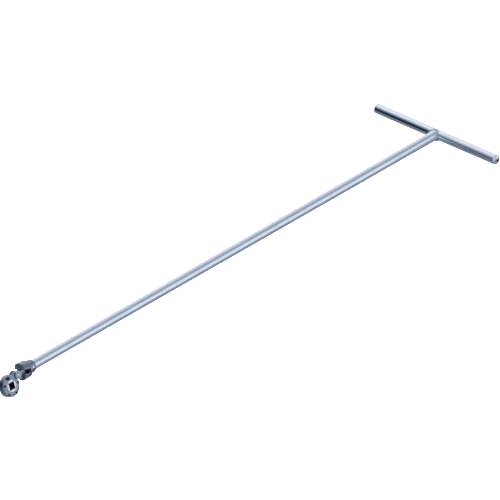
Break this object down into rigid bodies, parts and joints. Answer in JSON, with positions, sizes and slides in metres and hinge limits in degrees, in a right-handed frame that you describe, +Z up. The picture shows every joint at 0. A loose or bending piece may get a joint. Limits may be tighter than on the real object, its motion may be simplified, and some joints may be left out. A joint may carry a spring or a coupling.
{
  "type": "tap wrench",
  "caption": "Long T-handle wrench with a jointed round ratchet head that turns a square drive, lying at rest on a flat surface.",
  "frame": {"origin": "on the surface that the wrench lies on, under the middle of its bounding box", "axes": "+X along the shaft towards the ratchet head, +Y along the T-bar, +Z up"},
  "size_m": [0.8572, 0.2098, 0.0352],
  "materials": {
    "bright_plate": "bright bluish chrome plate on steel, lightly handled",
    "dark_steel": "hardened steel, oiled, dull dark grey",
    "spring_steel": "blued spring steel"
  },
  "bodies": {
    "handle": {"t_bar": "bright_plate", "bar_end_plug_left": "bright_plate", "bar_end_plug_right": "bright_plate", "tee_weld": "bright_plate", "shaft": "bright_plate", "shaft_fork": "bright_plate", "cross_pin": "bright_plate", "fork_pin": "bright_plate"},
    "link": {"swivel_link": "bright_plate", "link_pin": "bright_plate"},
    "head": {"ratchet_housing": "bright_plate", "cover_plate": "bright_plate", "cover_screw_1": "dark_steel", "cover_screw_2": "dark_steel", "cover_screw_3": "dark_steel", "cover_screw_4": "dark_steel", "pawl_spring": "spring_steel"},
    "gear": {"drive_gear": "bright_plate"},
    "pawl": {"pawl": "dark_steel"},
    "selector": {"selector_lever": "dark_steel"}
  },
  "joints": [
    {"name": "fork_swing", "type": "hinge", "parent": "handle", "child": "link", "pos_m": [0.38547, 0, 0.02313], "axis": [-0.0187, -0.3502, 0.9365], "range_deg": [-40, 40]},
    {"name": "head_swing", "type": "hinge", "parent": "link", "child": "head", "pos_m": [0.39877, 0, 0.02339], "axis": [-0.007, 0.9367, 0.3501], "range_deg": [-95, 34]},
    {"name": "gear_spin", "type": "hinge", "parent": "head", "child": "gear", "pos_m": [0.41394, 0.00316, 0.01525], "axis": [-0.007, 0.9367, 0.3501], "continuous": true},
    {"name": "selector_turn", "type": "hinge", "parent": "head", "child": "selector", "pos_m": [0.41695, -0.00078, 0.02585], "axis": [-0.007, 0.9367, 0.3501], "range_deg": [-90, 0]},
    {"name": "pawl_rock", "type": "hinge", "parent": "head", "child": "pawl", "pos_m": [0.41695, -0.00078, 0.02585], "axis": [-0.007, 0.9367, 0.3501], "range_deg": [0, 12]}
  ],
  "couplings": [
    {"joint": "pawl_rock", "follows": "selector_turn", "ratio": -0.13333}
  ]
}
